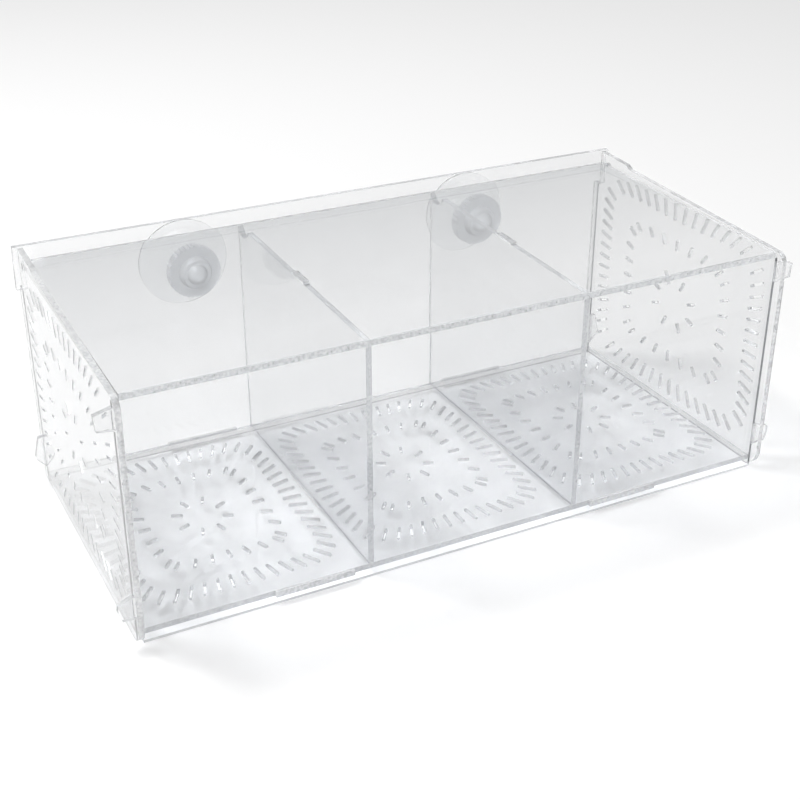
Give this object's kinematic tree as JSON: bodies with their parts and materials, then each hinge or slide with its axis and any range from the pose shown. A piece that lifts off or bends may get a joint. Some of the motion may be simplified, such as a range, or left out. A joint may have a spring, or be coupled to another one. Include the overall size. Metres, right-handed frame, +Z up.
{
  "type": "fish breeding box",
  "caption": "Clear slot-together hang-on breeding box for small fish, with lift-out dividers, slotted floor and ends, a hinged lid and suction cups.",
  "frame": {"origin": "bottom centre of the whole object: on the plane of the wall panels' bottom edges, midway between the two end panels, and midway between their front edges and the suction cups' rims", "axes": "+Z up, +X along the box to the right as seen from the front, -Y out of the front panel, +Y out of the back panel towards the tank's glass"},
  "size_m": [0.3136, 0.1526, 0.1155],
  "materials": {
    "clear_sheet": "polished clear sheet with frosted cut edges",
    "soft_cup": "soft clear, glossy",
    "clear_hardware": "clear moulded, glossy"
  },
  "bodies": {
    "box": {"front_panel": "clear_sheet", "back_panel": "clear_sheet", "left_end_panel": "clear_sheet", "right_end_panel": "clear_sheet", "floor_panel": "clear_sheet", "left_divider": "clear_sheet", "right_divider": "clear_sheet", "left_cup": "soft_cup", "right_cup": "soft_cup", "left_stud": "clear_hardware", "right_stud": "clear_hardware"},
    "lid": {"lid": "clear_sheet"},
    "left_nut": {"left_nut": "clear_hardware"},
    "right_nut": {"right_nut": "clear_hardware"}
  },
  "joints": [
    {"name": "lid_hinge", "type": "hinge", "parent": "box", "child": "lid", "pos_m": [0, 0.0567, 0.10874], "axis": [-1, 0, 0], "range_deg": [0, 120]},
    {"name": "left_nut_turn", "type": "hinge", "parent": "box", "child": "left_nut", "pos_m": [-0.074, 0.06275, 0.09], "axis": [0, 1, 0], "continuous": true},
    {"name": "right_nut_turn", "type": "hinge", "parent": "box", "child": "right_nut", "pos_m": [0.074, 0.06275, 0.09], "axis": [0, 1, 0], "continuous": true}
  ]
}
